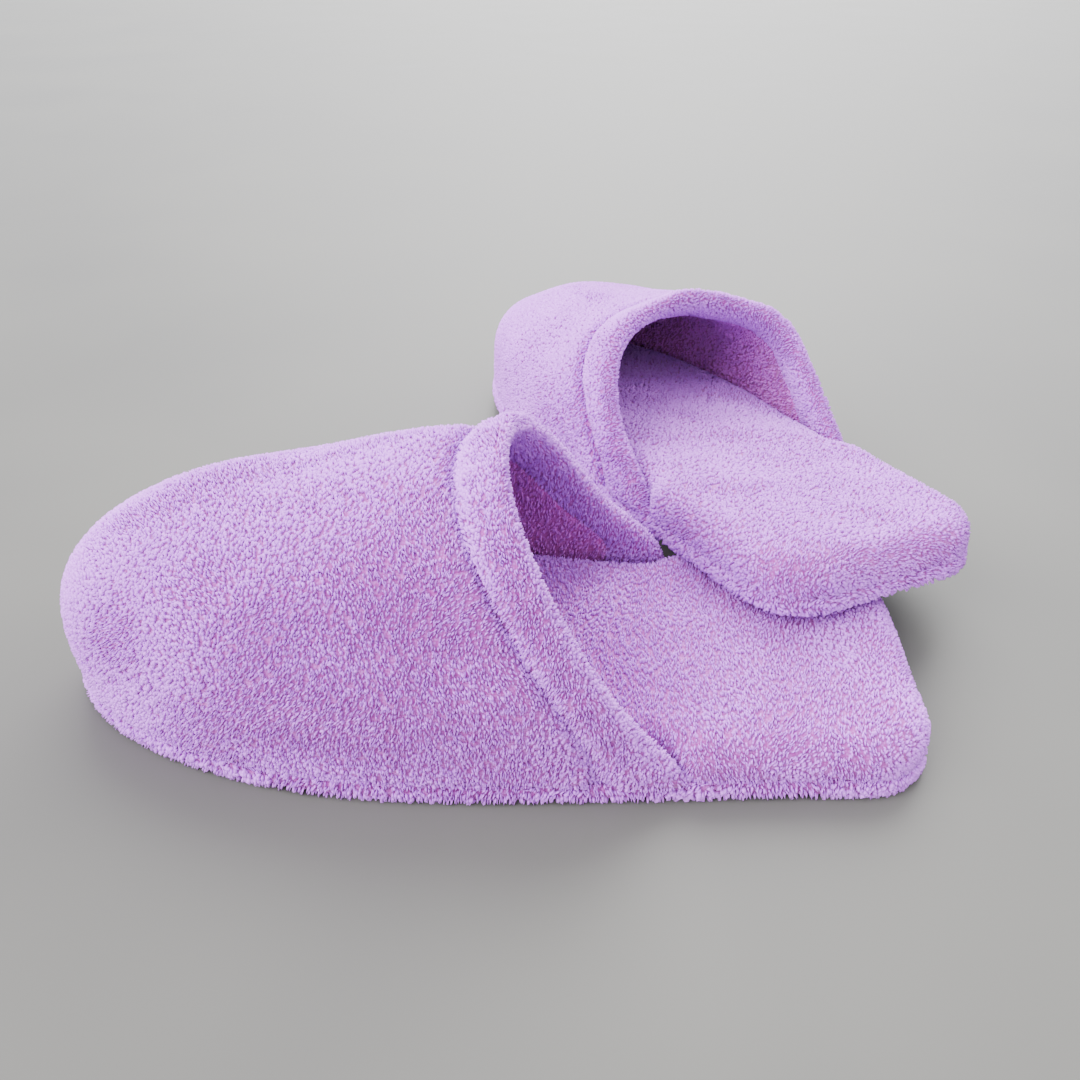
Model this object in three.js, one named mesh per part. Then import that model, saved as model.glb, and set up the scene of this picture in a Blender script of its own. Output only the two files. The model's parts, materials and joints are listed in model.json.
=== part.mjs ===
// A pair of closed-toe, backless spa slippers in terry towelling, as they lie on a floor.
// The near slipper lies flat. The far one is turned away, with its heel resting on the near
// insole and its toe on the floor. Millimetres, +Z up, origin under the middle of the near
// slipper's outsole, near toe towards -X.
import * as THREE from "three";
import { mergeVertices } from "three/addons/utils/BufferGeometryUtils.js";

// Outline of the foot, seen from above. Local x runs from the heel (0) to the toe.
const LENGTH = 262;
const FOREFOOT_WIDTH = 108;
const HEEL_WIDTH = 90;
const HEEL_CORNER_RADIUS = 17;
const TOE_LENGTH = 109; // from the widest line to the tip
const TOE_ROUNDNESS = 1.95; // 2 is an ellipse, more is squarer

// Sole, from the floor up.
const SOLE_HEIGHT = 20;
const OUTSOLE_THICKNESS = 2.2;
const MIDSOLE_THICKNESS = 3.5;
const SOLE_EDGE_ROUND = 7; // how far the insole rolls over its edge
const RIM_WIDTH = 4.5;
const RIM_PROUD = 0.5;
const RIM_FLOOR_CLEARANCE = 0.4;

// Upper.
const NEAR_INSTEP_HEIGHT = 83; // outside, where the cuff meets the vamp
const FAR_INSTEP_HEIGHT = 64; // the far upper has slumped
const NEAR_GIRTH_SQUARENESS = 2.1; // 2 is an ellipse, more has fuller shoulders
const FAR_GIRTH_SQUARENESS = 2.4;
const TOE_FALL = 12; // how far the instep line sinks by the toe, before it rounds down
const TOE_DROP = 2.9; // 2 is an ellipse, more keeps the height for longer
const OPENING_TOP = 123; // the opening's edge over the instep
const OPENING_SIDE = 68; // the opening's edge beside the heel
const OPENING_BOW = 0.85; // 1 is a straight slant
const NEAR_CUFF_WIDTH = 15.5; // along the slipper
const FAR_CUFF_WIDTH = 18; // its fold has flattened out
const CUFF_HEM_SPREAD = 13; // how much wider a cuff is where it reaches the sole
const CUFF_HEM_TAPER = 6; // 1 loses that width evenly on the way up, more loses it sooner
const CUFF_PROUD = 1.4; // how far the folded cuff stands out of the vamp
const CUFF_FLARE = 3; // how far its lip rises over the instep
const CUFF_LIP = 1.2; // thickness left at the rounded lip
const CUFF_LIP_SHARE = 0.4; // of the cuff's width, over which its lip is rounded
const CUFF_PINCH_SHARE = 0.3; // of the cuff's width, over which it thins towards its seam

// Cloth, wadding and thread.
const TERRY_THICKNESS = 2.2;
const LINING_THICKNESS = 1.8;
const WADDING_THICKNESS = 1.6;
const THREAD_RADIUS = 0.4;
const SEAM_GROOVE = 1.6; // depth
const SEAM_GAP = 0.6; // between the cuff and the layers that it is sewn to
const GAP = 0.3; // between two pieces that touch
const PAD_EASE = 0.9; // between the insole pad and the lining round it
const PAD_TAPER = 26; // over which the pad narrows into the upper

// How the far slipper lies.
const FAR_HEEL_PAST_NEAR_HEEL = -2;
const FAR_HEEL_Y = 20;
const FAR_HEADING = THREE.MathUtils.degToRad(119.5);
const FAR_ROLL = THREE.MathUtils.degToRad(3.3);
const STEEPEST_PITCH = THREE.MathUtils.degToRad(15);
const REST_GAP = 0.4;

// Worked out from the sizes above.
const HEM_Z = OUTSOLE_THICKNESS + GAP + MIDSOLE_THICKNESS + GAP;
const UPPER_THICKNESS = TERRY_THICKNESS + WADDING_THICKNESS + LINING_THICKNESS + 2 * GAP;
const SOLE_TUCK = UPPER_THICKNESS + PAD_EASE;
const TOE_START = LENGTH - TOE_LENGTH;
const FAR_HEEL_X = LENGTH / 2 + FAR_HEEL_PAST_NEAR_HEEL;

// How finely the solids are cut.
const HEEL_STEPS = 4;
const WAIST_STEPS = 7;
const TOE_STEPS = 9;
const EDGE_STEPS = 3;
const WALL_STEPS = 2;
const DOME_STEPS = 16;
const VAMP_STEPS = 12;
const VAMP_BUNCHING = 1.7; // 1 spaces the vamp's steps evenly, more crowds them at the toe
const CUFF_STEPS = 5;
const THREAD_SIDES = 6;
const REST_STEPS = 24;
const PITCH_HALVINGS = 30;

const smooth = (value) => THREE.MathUtils.smoothstep(value, 0, 1);
const mix = THREE.MathUtils.lerp;
const clamp = THREE.MathUtils.clamp;

// ---- closed solids from grids of points ----

// Welds four-cornered faces, which face out, into one closed geometry. A face that has shrunk
// to a line is dropped.
function solidFrom(faces) {
  const positions = [];
  for (const [a, b, c, d] of faces) {
    for (const point of [a, b, c, a, c, d]) {
      positions.push(point.x, point.y, point.z);
    }
  }
  const soup = new THREE.BufferGeometry();
  soup.setAttribute("position", new THREE.Float32BufferAttribute(positions, 3));
  const welded = mergeVertices(soup, 1e-3);
  const order = welded.index.array;
  const kept = [];
  for (let i = 0; i < order.length; i += 3) {
    const [a, b, c] = [order[i], order[i + 1], order[i + 2]];
    if (a !== b && b !== c && a !== c) kept.push(a, b, c);
  }
  welded.setIndex(kept);
  const faceted = welded.toNonIndexed();
  faceted.computeVertexNormals();
  return faceted;
}

// The faces of one grid of points, rows[i][j].
function gridFaces(rows) {
  const faces = [];
  for (let i = 0; i + 1 < rows.length; i++) {
    for (let j = 0; j + 1 < rows[i].length; j++) {
      faces.push([rows[i][j], rows[i + 1][j], rows[i + 1][j + 1], rows[i][j + 1]]);
    }
  }
  return faces;
}

// A shell between an outer and an inner grid. Strips close its borders, apart from the last
// column where a closed tip has drawn both grids together.
function shellSolid(outer, inner, closedTip) {
  const last = outer[0].length - 1;
  const faces = gridFaces(outer);
  for (const [a, b, c, d] of gridFaces(inner)) faces.push([a, d, c, b]);
  const end = outer.length - 1;
  for (let j = 0; j < last; j++) {
    faces.push([outer[0][j], outer[0][j + 1], inner[0][j + 1], inner[0][j]]);
    faces.push([outer[end][j + 1], outer[end][j], inner[end][j], inner[end][j + 1]]);
  }
  for (let i = 0; i < end; i++) {
    faces.push([outer[i + 1][0], outer[i][0], inner[i][0], inner[i + 1][0]]);
    if (closedTip) continue;
    faces.push([outer[i][last], outer[i + 1][last], inner[i + 1][last], inner[i][last]]);
  }
  return solidFrom(faces);
}

// A flat cap over a loop of points that runs round the outline. Its last corner is repeated,
// so that each triangle is a face like the others.
function capFaces(loop, facingUp) {
  const flat = loop.map((point) => new THREE.Vector2(point.x, point.y));
  return THREE.ShapeUtils.triangulateShape(flat, []).map(([a, b, c]) => {
    const [second, third] = facingUp ? [b, c] : [c, b];
    return [loop[a], loop[second], loop[third], loop[third]];
  });
}

// A solid through loops that run counter-clockwise, from its underside to its top. A ring's last
// loop meets its first, and any other solid has its first and last loops capped.
function loftSolid(loops, isRing = false) {
  const rows = isRing ? [...loops, loops[0]] : loops;
  const faces = [];
  for (let i = 0; i + 1 < rows.length; i++) {
    for (let j = 0; j < rows[i].length; j++) {
      const next = (j + 1) % rows[i].length;
      faces.push([rows[i][j], rows[i][next], rows[i + 1][next], rows[i + 1][j]]);
    }
  }
  if (!isRing) {
    faces.push(...capFaces(loops[0], false));
    faces.push(...capFaces(loops[loops.length - 1], true));
  }
  return solidFrom(faces);
}

// ---- the outline ----

// Half the slipper's width at x, taken in by an inset all round.
function halfWidth(x, inset) {
  const waist = mix(HEEL_WIDTH, FOREFOOT_WIDTH, smooth(x / TOE_START)) / 2 - inset;
  const toeReach = clamp((x - TOE_START) / (LENGTH - inset - TOE_START), 0, 1);
  const toeShare = (1 - toeReach ** TOE_ROUNDNESS) ** (1 / TOE_ROUNDNESS);
  const corner = Math.max(HEEL_CORNER_RADIUS - inset, GAP);
  const intoCorner = clamp((inset + corner - x) / corner, 0, 1);
  return waist * toeShare - corner * (1 - Math.sqrt(1 - intoCorner ** 2));
}

// The insole pad narrows where it enters the upper, which wraps round its sides.
function tuckAt(x) {
  const cuffWidth = Math.min(NEAR_CUFF_WIDTH, FAR_CUFF_WIDTH);
  const fullyIn = OPENING_SIDE + CUFF_LIP_SHARE * cuffWidth;
  return smooth((x - fullyIn + PAD_TAPER) / PAD_TAPER);
}

// Distances from the heel at which the outline is sampled, closer where it curves.
function outlineStations(heelInset, toeInset) {
  const corner = Math.max(HEEL_CORNER_RADIUS - heelInset, GAP);
  const stations = [];
  for (let i = 0; i < HEEL_STEPS; i++) {
    stations.push(heelInset + corner * (1 - Math.cos((i / HEEL_STEPS) * (Math.PI / 2))));
  }
  for (let i = 0; i < WAIST_STEPS; i++) {
    stations.push(mix(heelInset + corner, TOE_START, i / WAIST_STEPS));
  }
  for (let i = 0; i <= TOE_STEPS; i++) {
    stations.push(mix(TOE_START, LENGTH - toeInset, Math.sin((i / TOE_STEPS) * (Math.PI / 2))));
  }
  return stations;
}

// A loop round the outline at height z, taken in by inset. Under the upper it is taken in by
// a further tuck.
function outlineLoop(inset, z, tuck = 0) {
  const stations = outlineStations(inset, inset + tuck);
  const sides = stations.map((x) => {
    return mix(halfWidth(x, inset), halfWidth(x, inset + tuck), tuckAt(x));
  });
  const right = stations.map((x, i) => new THREE.Vector3(x, -sides[i], z));
  const left = stations.map((x, i) => new THREE.Vector3(x, sides[i], z));
  return [...right, ...left.slice(0, -1).reverse()];
}

// ---- the upper's skin ----

// Runs over the girth from the left hem to the right one: a wall beside the sole, a dome over
// the instep, and a wall again.
function girthStations() {
  const stations = [];
  for (let i = 0; i < WALL_STEPS; i++) {
    stations.push({ angle: 0, wall: i / WALL_STEPS });
  }
  for (let i = 0; i <= DOME_STEPS; i++) {
    stations.push({ angle: (Math.PI * i) / DOME_STEPS, wall: 1 });
  }
  for (let i = WALL_STEPS - 1; i >= 0; i--) {
    stations.push({ angle: Math.PI, wall: i / WALL_STEPS });
  }
  return stations;
}

// A cosine or sine of the dome's angle, bowed out to the squareness of the upper's girth.
const bow = (value, upper) => Math.sign(value) * Math.abs(value) ** (2 / upper.squareness);

// How high a girth station stands at the opening, from 0 at the hem to 1 over the instep.
function riseAt(girth, upper) {
  const wallTop = mix(HEM_Z, SOLE_HEIGHT, girth.wall);
  const z = mix(wallTop, upper.instep, bow(Math.sin(girth.angle), upper));
  return clamp((z - HEM_Z) / (upper.instep - HEM_Z), 0, 1);
}

function openingX(girth, upper) {
  return mix(OPENING_SIDE, OPENING_TOP, riseAt(girth, upper) ** OPENING_BOW);
}

// The cuff splays out where it reaches the sole.
function seamX(girth, upper) {
  const spread = CUFF_HEM_SPREAD * (1 - riseAt(girth, upper)) ** CUFF_HEM_TAPER;
  return openingX(girth, upper) + upper.cuffWidth + spread;
}

// A point of the upper at x, taken in by inset from the outer terry.
function skinPoint(girth, x, inset, upper) {
  const toward = clamp((x - OPENING_TOP) / (LENGTH - inset - OPENING_TOP), 0, 1);
  const ridge = upper.instep - TOE_FALL * toward - inset;
  const dome = (ridge - SOLE_HEIGHT) * (1 - toward ** TOE_DROP) ** (1 / TOE_DROP);
  const y = halfWidth(x, inset) * bow(Math.cos(girth.angle), upper);
  const wallZ = mix(HEM_Z, SOLE_HEIGHT, girth.wall);
  return new THREE.Vector3(x, y, wallZ + dome * bow(Math.sin(girth.angle), upper));
}

// The outermost skin is drawn in at the hem, where the sole seam runs.
function hemmed(girth, inset) {
  const isHem = girth.wall === 0;
  return isHem ? Math.max(inset, SEAM_GROOVE) : inset;
}

// One layer of the vamp, from the cuff's seam to the toe.
function vampLayer(upper, outerInset, thickness, isOutside) {
  const skin = (inset, isHemmed) =>
    girthStations().map((girth) => {
      const taken = isHemmed ? hemmed(girth, inset) : inset;
      const start = seamX(girth, upper) + SEAM_GAP;
      const row = [];
      for (let j = 0; j <= VAMP_STEPS; j++) {
        const share = 1 - (1 - j / VAMP_STEPS) ** VAMP_BUNCHING;
        row.push(skinPoint(girth, mix(start, LENGTH - taken, share), taken, upper));
      }
      return row;
    });
  return shellSolid(skin(outerInset, isOutside), skin(outerInset + thickness, false), true);
}

// ---- the pieces of one slipper ----

// A flat layer of the sole, inside the rim.
function soleLayer(bottom, thickness) {
  const inset = RIM_WIDTH + GAP;
  return loftSolid([outlineLoop(inset, bottom), outlineLoop(inset, bottom + thickness)]);
}

const outsole = () => soleLayer(0, OUTSOLE_THICKNESS);
const midsoleBoard = () => soleLayer(OUTSOLE_THICKNESS + GAP, MIDSOLE_THICKNESS);

// Loops up the side of the pad and over its rounded edge, for a skin taken in by inset.
function padLoops(inset, hemInset) {
  const top = SOLE_HEIGHT - inset;
  const round = SOLE_EDGE_ROUND - inset;
  const loops = [outlineLoop(inset + hemInset, HEM_Z, SOLE_TUCK)];
  if (hemInset) loops.push(outlineLoop(inset, HEM_Z + hemInset, SOLE_TUCK));
  for (let i = 0; i <= EDGE_STEPS; i++) {
    const turn = ((i / EDGE_STEPS) * Math.PI) / 2;
    const extra = round * (1 - Math.cos(turn));
    loops.push(outlineLoop(inset + extra, top - round * (1 - Math.sin(turn)), SOLE_TUCK));
  }
  return loops;
}

const footbedFoam = () => loftSolid(padLoops(TERRY_THICKNESS + GAP, 0));

function insoleCover() {
  const inside = padLoops(TERRY_THICKNESS, 0).reverse();
  return loftSolid([...inside, ...padLoops(0, SEAM_GROOVE)]);
}

function soleRim() {
  const top = HEM_Z - GAP;
  const corner = RIM_PROUD + SEAM_GROOVE / 2;
  const section = [
    [RIM_WIDTH, RIM_FLOOR_CLEARANCE],
    [corner, RIM_FLOOR_CLEARANCE],
    [-RIM_PROUD, RIM_FLOOR_CLEARANCE + corner],
    [-RIM_PROUD, top - SEAM_GROOVE],
    [SEAM_GROOVE - RIM_PROUD, top],
    [RIM_WIDTH, top],
  ];
  return loftSolid(section.map(([inset, z]) => outlineLoop(inset, z)), true);
}

// The stitching that holds the rim, as one thread lying in the groove.
function soleSeam() {
  const loops = [];
  for (let i = 0; i < THREAD_SIDES; i++) {
    const turn = (2 * Math.PI * i) / THREAD_SIDES;
    const z = HEM_Z - GAP / 2 + THREAD_RADIUS * Math.sin(turn);
    loops.push(outlineLoop(-THREAD_RADIUS * Math.cos(turn), z));
  }
  return loftSolid(loops, true);
}

// The folded terry band round the opening, rounded at its lip and drawn in at its seam.
function openingCuff(upper) {
  const middle = UPPER_THICKNESS / 2;
  const fullness = middle + CUFF_PROUD - CUFF_LIP / 2;
  const sectionAt = (across) => {
    const lip = Math.sqrt(1 - (1 - Math.min(across / CUFF_LIP_SHARE, 1)) ** 2);
    const pinch = smooth((across - 1 + CUFF_PINCH_SHARE) / CUFF_PINCH_SHARE);
    return {
      outer: middle - CUFF_LIP / 2 - fullness * lip + (CUFF_PROUD + SEAM_GROOVE) * pinch,
      inner: middle + CUFF_LIP / 2 + (middle - CUFF_LIP / 2) * lip,
      lift: CUFF_FLARE * (1 - across) ** 2,
    };
  };
  const skin = (isOuter) =>
    girthStations().map((girth) => {
      const row = [];
      for (let j = 0; j <= CUFF_STEPS; j++) {
        const across = j / CUFF_STEPS;
        const section = sectionAt(across);
        const inset = isOuter ? hemmed(girth, section.outer) : section.inner;
        const x = mix(openingX(girth, upper), seamX(girth, upper), across);
        const point = skinPoint(girth, x, inset, upper);
        point.z += section.lift * Math.sin(girth.angle);
        row.push(point);
      }
      return row;
    });
  return shellSolid(skin(true), skin(false), false);
}

// The stitching between cuff and vamp, as one thread lying in the groove.
function cuffSeam(upper) {
  const girths = girthStations().slice(1, -1);
  const centres = girths.map((girth) => {
    const x = seamX(girth, upper) - GAP - THREAD_RADIUS;
    return skinPoint(girth, x, THREAD_RADIUS, upper);
  });
  const path = new THREE.CatmullRomCurve3(centres);
  const section = new THREE.Shape();
  section.absarc(0, 0, THREAD_RADIUS, 0, 2 * Math.PI);
  return new THREE.ExtrudeGeometry(section, {
    steps: 2 * centres.length,
    curveSegments: THREAD_SIDES,
    bevelEnabled: false,
    extrudePath: path,
  });
}

function vampTerry(upper) {
  return vampLayer(upper, 0, TERRY_THICKNESS, true);
}

function vampWadding(upper) {
  return vampLayer(upper, TERRY_THICKNESS + GAP, WADDING_THICKNESS, false);
}

function vampLining(upper) {
  return vampLayer(upper, UPPER_THICKNESS - LINING_THICKNESS, LINING_THICKNESS, false);
}

// ---- materials ----

const finish = (color, roughness) => new THREE.MeshStandardMaterial({ color, roughness, metalness: 0 });
const CLOTH_ROUGHNESS = 0.95;
const EVA_ROUGHNESS = 0.7;
const terryFinish = finish(0xc3a2d8, CLOTH_ROUGHNESS);
const liningFinish = finish(0xb48ecb, CLOTH_ROUGHNESS);
const threadFinish = finish(0xa883be, CLOTH_ROUGHNESS);
const waddingFinish = finish(0xf2efe9, CLOTH_ROUGHNESS);
const foamFinish = finish(0xefe6c8, CLOTH_ROUGHNESS);
const midsoleFinish = finish(0xe8e8e4, EVA_ROUGHNESS);
const outsoleFinish = finish(0xe6e1e8, CLOTH_ROUGHNESS);

// ---- one slipper, then the pair ----

function slipper(side, upper) {
  const pieces = {
    outsole: [outsole(), outsoleFinish],
    midsole_board: [midsoleBoard(), midsoleFinish],
    footbed_foam: [footbedFoam(), foamFinish],
    insole_cover: [insoleCover(), terryFinish],
    sole_rim: [soleRim(), terryFinish],
    sole_seam: [soleSeam(), threadFinish],
    vamp_terry: [vampTerry(upper), terryFinish],
    vamp_wadding: [vampWadding(upper), waddingFinish],
    vamp_lining: [vampLining(upper), liningFinish],
    opening_cuff: [openingCuff(upper), terryFinish],
    cuff_seam: [cuffSeam(upper), threadFinish],
  };
  const group = new THREE.Group();
  for (const [name, [geometry, material]] of Object.entries(pieces)) {
    const mesh = new THREE.Mesh(geometry, material);
    mesh.name = `${side}_${name}`;
    group.add(mesh);
  }
  return group;
}

function placeNear(group) {
  group.rotation.z = Math.PI;
  group.position.x = LENGTH / 2;
}

// Points spread over the flat of the near insole, behind the opening.
function nearInsolePoints(near) {
  const points = [];
  const halfFlat = HEEL_WIDTH / 2 - SOLE_EDGE_ROUND;
  for (let i = 0; i <= REST_STEPS; i++) {
    for (let j = 0; j <= REST_STEPS; j++) {
      const x = mix(SOLE_EDGE_ROUND, OPENING_SIDE, i / REST_STEPS);
      const y = mix(-halfFlat, halfFlat, j / REST_STEPS);
      points.push(near.localToWorld(new THREE.Vector3(x, y, 0)));
    }
  }
  return points;
}

// How high the far slipper's underside passes over a point of the floor, if it covers it.
function undersideOver(group, point) {
  const normal = new THREE.Vector3(0, 0, 1).transformDirection(group.matrixWorld);
  const plane = new THREE.Plane().setFromNormalAndCoplanarPoint(normal, group.position);
  const reach = new THREE.Vector3(0, 0, LENGTH);
  const upright = new THREE.Line3(point.clone().sub(reach), point.clone().add(reach));
  const hit = plane.intersectLine(upright, new THREE.Vector3());
  const local = group.worldToLocal(hit.clone());
  const isCovered = local.x > 0 && local.x < LENGTH && Math.abs(local.y) < halfWidth(local.x, 0);
  return isCovered ? hit.z : Infinity;
}

// Turns and lifts the far slipper until its heel rests on the near insole and its toe on the floor.
function placeFar(group, near) {
  near.updateMatrixWorld(true);
  const insolePoints = nearInsolePoints(near);
  const sole = outlineLoop(0, 0);
  group.rotation.order = "ZYX";
  let [flat, steep] = [0, STEEPEST_PITCH];
  for (let i = 0; i < PITCH_HALVINGS; i++) {
    const pitch = (flat + steep) / 2;
    group.rotation.set(FAR_ROLL, pitch, FAR_HEADING);
    group.position.set(FAR_HEEL_X, FAR_HEEL_Y, 0);
    group.updateMatrixWorld(true);
    const heights = insolePoints.map((point) => undersideOver(group, point));
    group.position.z = SOLE_HEIGHT + REST_GAP - Math.min(...heights);
    group.updateMatrixWorld(true);
    const toeHeight = Math.min(...sole.map((point) => group.localToWorld(point.clone()).z));
    if (toeHeight > REST_GAP) flat = pitch;
    else steep = pitch;
  }
}

const nearUpper = {
  instep: NEAR_INSTEP_HEIGHT,
  squareness: NEAR_GIRTH_SQUARENESS,
  cuffWidth: NEAR_CUFF_WIDTH,
};
const farUpper = {
  instep: FAR_INSTEP_HEIGHT,
  squareness: FAR_GIRTH_SQUARENESS,
  cuffWidth: FAR_CUFF_WIDTH,
};
const near = slipper("near", nearUpper);
const far = slipper("far", farUpper);
const pair = new THREE.Group();
pair.add(near, far);
placeNear(near);
placeFar(far, near);

export default pair;
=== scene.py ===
# %% [markdown]
# # A pair of terry spa slippers
# Each slipper is a padded sole with a closed upper. The far one is turned away, with its heel
# on the near insole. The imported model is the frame: it fixes sizes and places. Here every soft
# piece is made again as cloth, and towelling loops are grown on the cloth as mesh.

# %% Frame
import json
import math

import bmesh
import bpy
import numpy as np
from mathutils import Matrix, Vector

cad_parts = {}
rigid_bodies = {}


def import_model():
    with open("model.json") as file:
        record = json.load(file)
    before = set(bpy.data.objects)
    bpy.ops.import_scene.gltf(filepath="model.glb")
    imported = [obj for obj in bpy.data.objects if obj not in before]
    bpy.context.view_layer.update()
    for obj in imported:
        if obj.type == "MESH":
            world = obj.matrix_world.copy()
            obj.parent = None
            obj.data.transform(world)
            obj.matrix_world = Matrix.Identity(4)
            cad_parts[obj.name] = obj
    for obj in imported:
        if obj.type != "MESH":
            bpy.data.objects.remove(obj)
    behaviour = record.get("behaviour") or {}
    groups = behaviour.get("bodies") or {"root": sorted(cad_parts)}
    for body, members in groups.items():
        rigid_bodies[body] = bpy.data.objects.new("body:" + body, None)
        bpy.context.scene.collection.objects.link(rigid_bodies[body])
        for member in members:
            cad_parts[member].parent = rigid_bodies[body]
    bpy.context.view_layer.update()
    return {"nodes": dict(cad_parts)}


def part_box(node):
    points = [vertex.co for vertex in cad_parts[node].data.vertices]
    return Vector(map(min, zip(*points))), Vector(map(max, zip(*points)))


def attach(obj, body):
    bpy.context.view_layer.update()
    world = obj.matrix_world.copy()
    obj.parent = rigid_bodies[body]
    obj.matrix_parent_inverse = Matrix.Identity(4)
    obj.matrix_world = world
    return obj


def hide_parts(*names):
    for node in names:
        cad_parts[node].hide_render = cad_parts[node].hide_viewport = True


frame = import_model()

nodes = frame["nodes"]

# %% [markdown]
# ## Sizes
# A slipper is drawn in its own frame, in millimetres: x runs from heel to toe, y to the left
# and z up from the floor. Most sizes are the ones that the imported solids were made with, so a
# piece of cloth lands where its solid is. The cloth is a little fuller than its solid in a few
# places: the heel's corners, the insole's rounded edge, the cuff, and the way that the insole
# narrows into the upper. Insets are measured inwards from the outer terry.

# %% Sizes of the sole
MM = 0.001
SIDES = ("near", "far")
LENGTH, FOREFOOT_WIDTH, HEEL_WIDTH, HEEL_CORNER = 262.0, 108.0, 90.0, 20.0
TOE_LENGTH, TOE_ROUNDNESS = 109.0, 1.95  # 2 is an ellipse, less is more pointed
TOE_START = LENGTH - TOE_LENGTH
SOLE_HEIGHT, OUTSOLE, BOARD, GAP = 20.0, 2.2, 3.5, 0.3
HEM_Z = OUTSOLE + BOARD + 2 * GAP
EDGE_ROUND, RIM_WIDTH, RIM_PROUD, RIM_CLEARANCE = 8.5, 4.5, 0.5, 0.4

# %% Sizes of the upper
INSTEP = {"near": 83.0, "far": 64.0}
SQUARENESS = {"near": 2.1, "far": 2.4}  # 2 is an ellipse, more is squarer
TOE_FALL, TOE_DROP = 12.0, 2.9
OPENING_TOP, OPENING_SIDE, OPENING_BOW = 123.0, 68.0, 0.85
CUFF_WIDTH = {"near": 15.5, "far": 18.0}
CUFF_HEM_SPREAD, CUFF_HEM_TAPER, CUFF_PROUD, CUFF_FLARE = 13.0, 6.0, 2.1, 5.0
TERRY, WADDING, LINING = 2.2, 1.6, 1.8
UPPER = TERRY + WADDING + LINING + 2 * GAP
TUCK, TAPER = UPPER + 0.9, 14.0  # how the insole narrows under the upper
PAD_IN = OPENING_SIDE + 12.0

# the near cuff's lip is pulled back on its right side, most at one share of the way up
LIP_PULL = {"near": 7.0, "far": 0.0}
PULL_RISE, PULL_REACH = 0.22, 0.14

low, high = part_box("near_sole_rim")
print("rim length, packed and drawn:", round((high.x - low.x) / MM, 2), LENGTH + 2 * RIM_PROUD)

# %% [markdown]
# ## Where each slipper lies
# The outsole is flat and has one axis of symmetry, so its underside tells how a slipper lies.
# The heading could be typed in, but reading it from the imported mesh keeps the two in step.
# The axis is the direction in which the area spreads most. The heel end is straight across
# and the toe end comes to a point, which settles which way the axis runs.

# %% Lie of a slipper
FACES_DOWN, FLATNESS, OFF_AXIS = 0.9, 0.1, 5.0


def lie_of(outsole):
    """The heel's middle and the three axes of a slipper, from the underside of its outsole."""
    mesh = outsole.data
    mesh.calc_loop_triangles()
    index = np.empty(len(mesh.loop_triangles) * 3, int)
    mesh.loop_triangles.foreach_get("vertices", index)
    points = np.array([v.co for v in mesh.vertices], float)
    corners = points[index.reshape(-1, 3)]
    facing = np.cross(corners[:, 1] - corners[:, 0], corners[:, 2] - corners[:, 0]) / 2
    area = np.linalg.norm(facing, axis=1)
    under = facing[:, 2] < -FACES_DOWN * area
    corners, facing, area = corners[under], facing[under], area[under]
    up = -facing.sum(0) / np.linalg.norm(facing.sum(0))
    middle = corners.mean(1)
    centre = (middle * area[:, None]).sum(0) / area.sum()
    arms, offsets = corners - centre, middle - centre
    # a triangle's spread counts its three corners once and its middle nine times
    spread = np.einsum("t,tki,tkj->ij", area, arms, arms)
    spread += 9 * np.einsum("t,ti,tj->ij", area, offsets, offsets)
    along = np.linalg.eigh(spread)[1][:, 2]
    along -= up * (along @ up)
    along /= np.linalg.norm(along)
    left = np.cross(up, along)
    flat = (points - centre)[np.abs((points - centre) @ up) < FLATNESS * MM]
    tip = flat[np.argmax(flat @ along)]
    if abs(tip @ left) > OFF_AXIS * MM:
        along, left = -along, -left
    heel = centre + along * ((flat @ along).min() - (RIM_WIDTH + GAP) * MM)
    return heel, np.stack([along, left, up])


LIE = {side: lie_of(nodes[side + "_outsole"]) for side in SIDES}
for side, (heel, axes) in LIE.items():
    print(side, "heel at", np.round(heel / MM, 2), "toe towards", np.round(axes[0], 4))


def place(side, points):
    """Points of a slipper's own frame, in millimetres, as metres in the shared frame."""
    heel, axes = LIE[side]
    return heel + (np.asarray(points, float) * MM) @ axes


# %% [markdown]
# ## Outline and skin
# The outline is a straight waist with an elliptical toe and a squarish heel. The upper is a
# dome over it, a little squarer than an ellipse, between two low walls beside the sole. Girth
# runs from 0 at the left hem, over the instep, to 1 at the right hem. A sculpted mesh could
# have any shape, but a formula gives every layer the same skin at its own depth.

# %% Outline
WALL_SHARE = 0.06  # of the girth, for each wall


def smooth(value):
    value = np.clip(value, 0, 1)
    return value * value * (3 - 2 * value)


def mix(a, b, share):
    return a + (b - a) * share


def half_width(x, inset):
    waist = mix(HEEL_WIDTH, FOREFOOT_WIDTH, smooth(x / TOE_START)) / 2 - inset
    reach = np.clip((x - TOE_START) / (LENGTH - inset - TOE_START), 0, 1)
    toe = (1 - reach**TOE_ROUNDNESS) ** (1 / TOE_ROUNDNESS)
    corner = np.maximum(HEEL_CORNER - inset, GAP)
    into = np.clip((inset + corner - x) / corner, 0, 1)
    return np.maximum(waist * toe - corner * (1 - np.sqrt(1 - into**2)), 0)


# %% Dome
def bow(side, value):
    """A sine or cosine, made squarer."""
    return np.sign(value) * np.abs(value) ** (2 / SQUARENESS[side])


def girth_parts(girth):
    """How far up its wall a girth stands, and its angle over the dome."""
    wall = np.clip(np.minimum(girth, 1 - girth) / WALL_SHARE, 0, 1)
    angle = math.pi * np.clip((girth - WALL_SHARE) / (1 - 2 * WALL_SHARE), 0, 1)
    return wall, angle


def rise(side, girth):
    """How high a girth runs, from 0 at the hem to 1 at the top of the instep."""
    wall, angle = girth_parts(girth)
    z = mix(mix(HEM_Z, SOLE_HEIGHT, wall), INSTEP[side], bow(side, np.sin(angle)))
    return np.clip((z - HEM_Z) / (INSTEP[side] - HEM_Z), 0, 1)


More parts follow.
